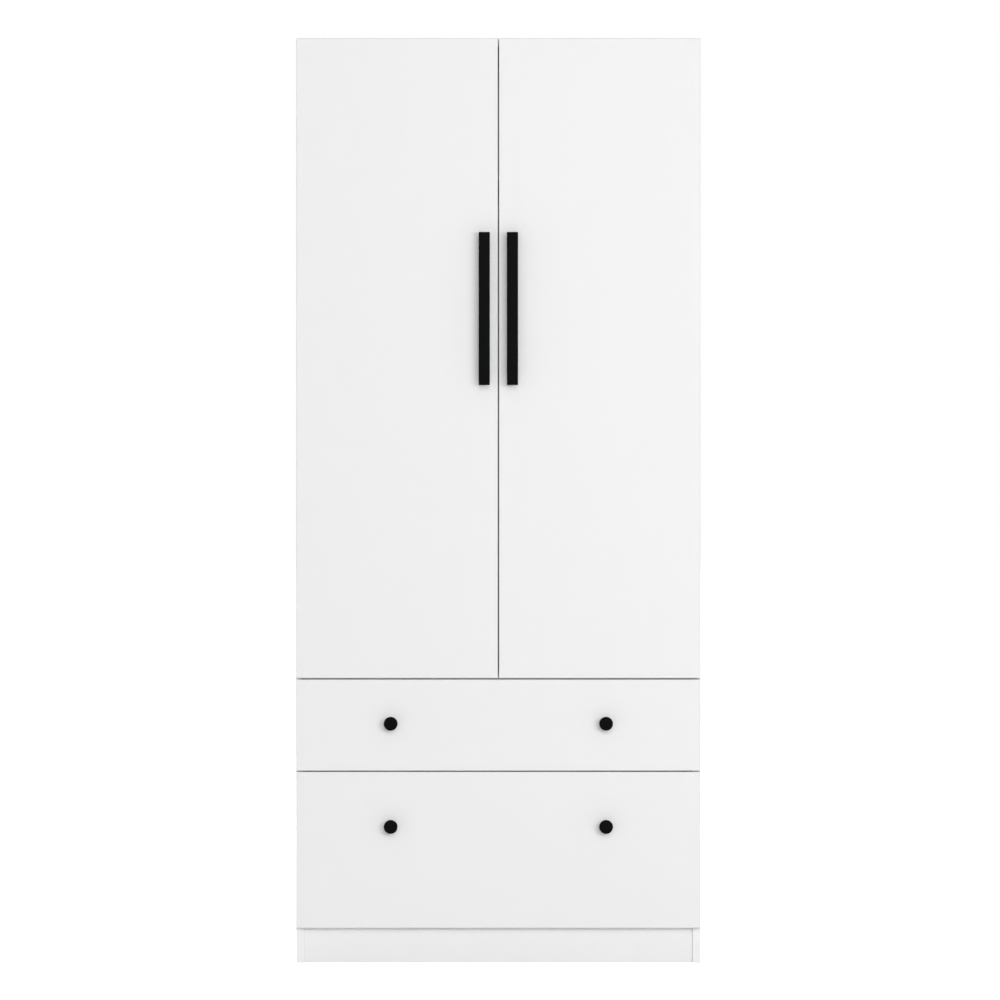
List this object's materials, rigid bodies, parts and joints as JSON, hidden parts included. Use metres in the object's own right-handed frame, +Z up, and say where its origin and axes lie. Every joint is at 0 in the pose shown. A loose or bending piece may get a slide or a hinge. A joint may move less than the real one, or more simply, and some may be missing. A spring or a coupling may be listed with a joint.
{
  "type": "two-door wardrobe with drawers",
  "caption": "Tall white wardrobe with hinged doors on bar handles over full-width drawers on slides, with a hanging rod and hat shelf inside, standing on a recessed plinth.",
  "frame": {"origin": "on the floor, in the middle of the overall box, handles included", "axes": "+Z up, +X to the right as seen from the front, the doors face -Y"},
  "size_m": [0.8, 0.525, 1.83],
  "materials": {
    "white_board": "satin white melamine",
    "white_hardboard": "white painted face, raw rear face",
    "dowel_wood": "raw beech",
    "black_metal": "matte black coating",
    "nickel_steel": "nickel plated",
    "zinc_steel": "zinc plated",
    "chrome_tube": "polished",
    "white_plastic": "moulded",
    "clear_plastic": "clear soft"
  },
  "bodies": {
    "carcass": {"left_side_panel": "white_board", "right_side_panel": "white_board", "top_panel": "white_board", "middle_panel": "white_board", "bottom_panel": "white_board", "front_plinth": "white_board", "rear_plinth": "white_board", "upper_back_board": "white_hardboard", "lower_back_board": "white_hardboard", "back_joining_strip": "white_plastic", "hat_shelf": "white_board", "shelf_pins": "zinc_steel", "hanging_rod": "chrome_tube", "rod_sockets": "white_plastic", "cam_locks": "zinc_steel", "cam_bolts": "zinc_steel", "wooden_dowels": "dowel_wood", "hinge_mounting_plates": "nickel_steel", "hinge_arms": "nickel_steel", "hinge_arm_pins": "nickel_steel", "door_bumpers": "clear_plastic", "drawer_slide_outer_rails": "zinc_steel", "wall_brackets": "zinc_steel", "carcass_screws": "zinc_steel"},
    "left_door": {"left_door_panel": "white_board", "left_door_handle": "black_metal", "left_door_handle_screws": "zinc_steel", "left_hinge_cups": "nickel_steel", "left_hinge_cup_pins": "nickel_steel", "left_hinge_cup_screws": "zinc_steel"},
    "left_first_links": {"left_hinge_first_links": "nickel_steel"},
    "left_second_links": {"left_hinge_second_links": "nickel_steel"},
    "right_door": {"right_door_panel": "white_board", "right_door_handle": "black_metal", "right_door_handle_screws": "zinc_steel", "right_hinge_cups": "nickel_steel", "right_hinge_cup_pins": "nickel_steel", "right_hinge_cup_screws": "zinc_steel"},
    "right_first_links": {"right_hinge_first_links": "nickel_steel"},
    "right_second_links": {"right_hinge_second_links": "nickel_steel"},
    "upper_drawer": {"upper_drawer_front": "white_board", "upper_drawer_left_side": "white_board", "upper_drawer_right_side": "white_board", "upper_drawer_back": "white_board", "upper_drawer_bottom": "white_hardboard", "upper_drawer_knobs": "black_metal", "upper_drawer_knob_screws": "zinc_steel", "upper_drawer_fasteners": "zinc_steel", "upper_drawer_inner_rails": "zinc_steel"},
    "upper_middle_rails": {"upper_drawer_middle_rails": "zinc_steel"},
    "lower_drawer": {"lower_drawer_front": "white_board", "lower_drawer_left_side": "white_board", "lower_drawer_right_side": "white_board", "lower_drawer_back": "white_board", "lower_drawer_bottom": "white_hardboard", "lower_drawer_knobs": "black_metal", "lower_drawer_knob_screws": "zinc_steel", "lower_drawer_fasteners": "zinc_steel", "lower_drawer_inner_rails": "zinc_steel"},
    "lower_middle_rails": {"lower_drawer_middle_rails": "zinc_steel"}
  },
  "joints": [
    {"name": "left_first_link_pivot", "type": "hinge", "parent": "carcass", "child": "left_first_links", "pos_m": [-0.364, -0.2115, 1.1959], "axis": [0, 0, -1], "range_deg": [-23.07, 0]},
    {"name": "left_door_swing", "type": "hinge", "parent": "left_first_links", "child": "left_door", "pos_m": [-0.3894, -0.2258, 1.1959], "axis": [0, 0, -1], "range_deg": [0, 118]},
    {"name": "left_second_link_pivot", "type": "hinge", "parent": "carcass", "child": "left_second_links", "pos_m": [-0.3678, -0.2255, 1.1959], "axis": [0, 0, -1], "range_deg": [-13.11, 0]},
    {"name": "right_first_link_pivot", "type": "hinge", "parent": "carcass", "child": "right_first_links", "pos_m": [0.364, -0.2115, 1.1959], "axis": [0, 0, 1], "range_deg": [-23.07, 0]},
    {"name": "right_door_swing", "type": "hinge", "parent": "right_first_links", "child": "right_door", "pos_m": [0.3894, -0.2258, 1.1959], "axis": [0, 0, 1], "range_deg": [0, 118]},
    {"name": "right_second_link_pivot", "type": "hinge", "parent": "carcass", "child": "right_second_links", "pos_m": [0.3678, -0.2255, 1.1959], "axis": [0, 0, 1], "range_deg": [-13.11, 0]},
    {"name": "upper_drawer_slide", "type": "slide", "parent": "carcass", "child": "upper_drawer", "axis": [0, -1, 0], "range_m": [0, 0.39]},
    {"name": "upper_middle_rail_slide", "type": "slide", "parent": "carcass", "child": "upper_middle_rails", "axis": [0, -1, 0], "range_m": [0, 0.195]},
    {"name": "lower_drawer_slide", "type": "slide", "parent": "carcass", "child": "lower_drawer", "axis": [0, -1, 0], "range_m": [0, 0.39]},
    {"name": "lower_middle_rail_slide", "type": "slide", "parent": "carcass", "child": "lower_middle_rails", "axis": [0, -1, 0], "range_m": [0, 0.195]}
  ],
  "couplings": [
    {"joint": "left_first_link_pivot", "follows": "left_door_swing", "ratio": -0.1955},
    {"joint": "left_second_link_pivot", "follows": "left_door_swing", "ratio": -0.11102},
    {"joint": "right_first_link_pivot", "follows": "right_door_swing", "ratio": -0.1955},
    {"joint": "right_second_link_pivot", "follows": "right_door_swing", "ratio": -0.11102},
    {"joint": "upper_middle_rail_slide", "follows": "upper_drawer_slide", "ratio": 0.5},
    {"joint": "lower_middle_rail_slide", "follows": "lower_drawer_slide", "ratio": 0.5}
  ]
}
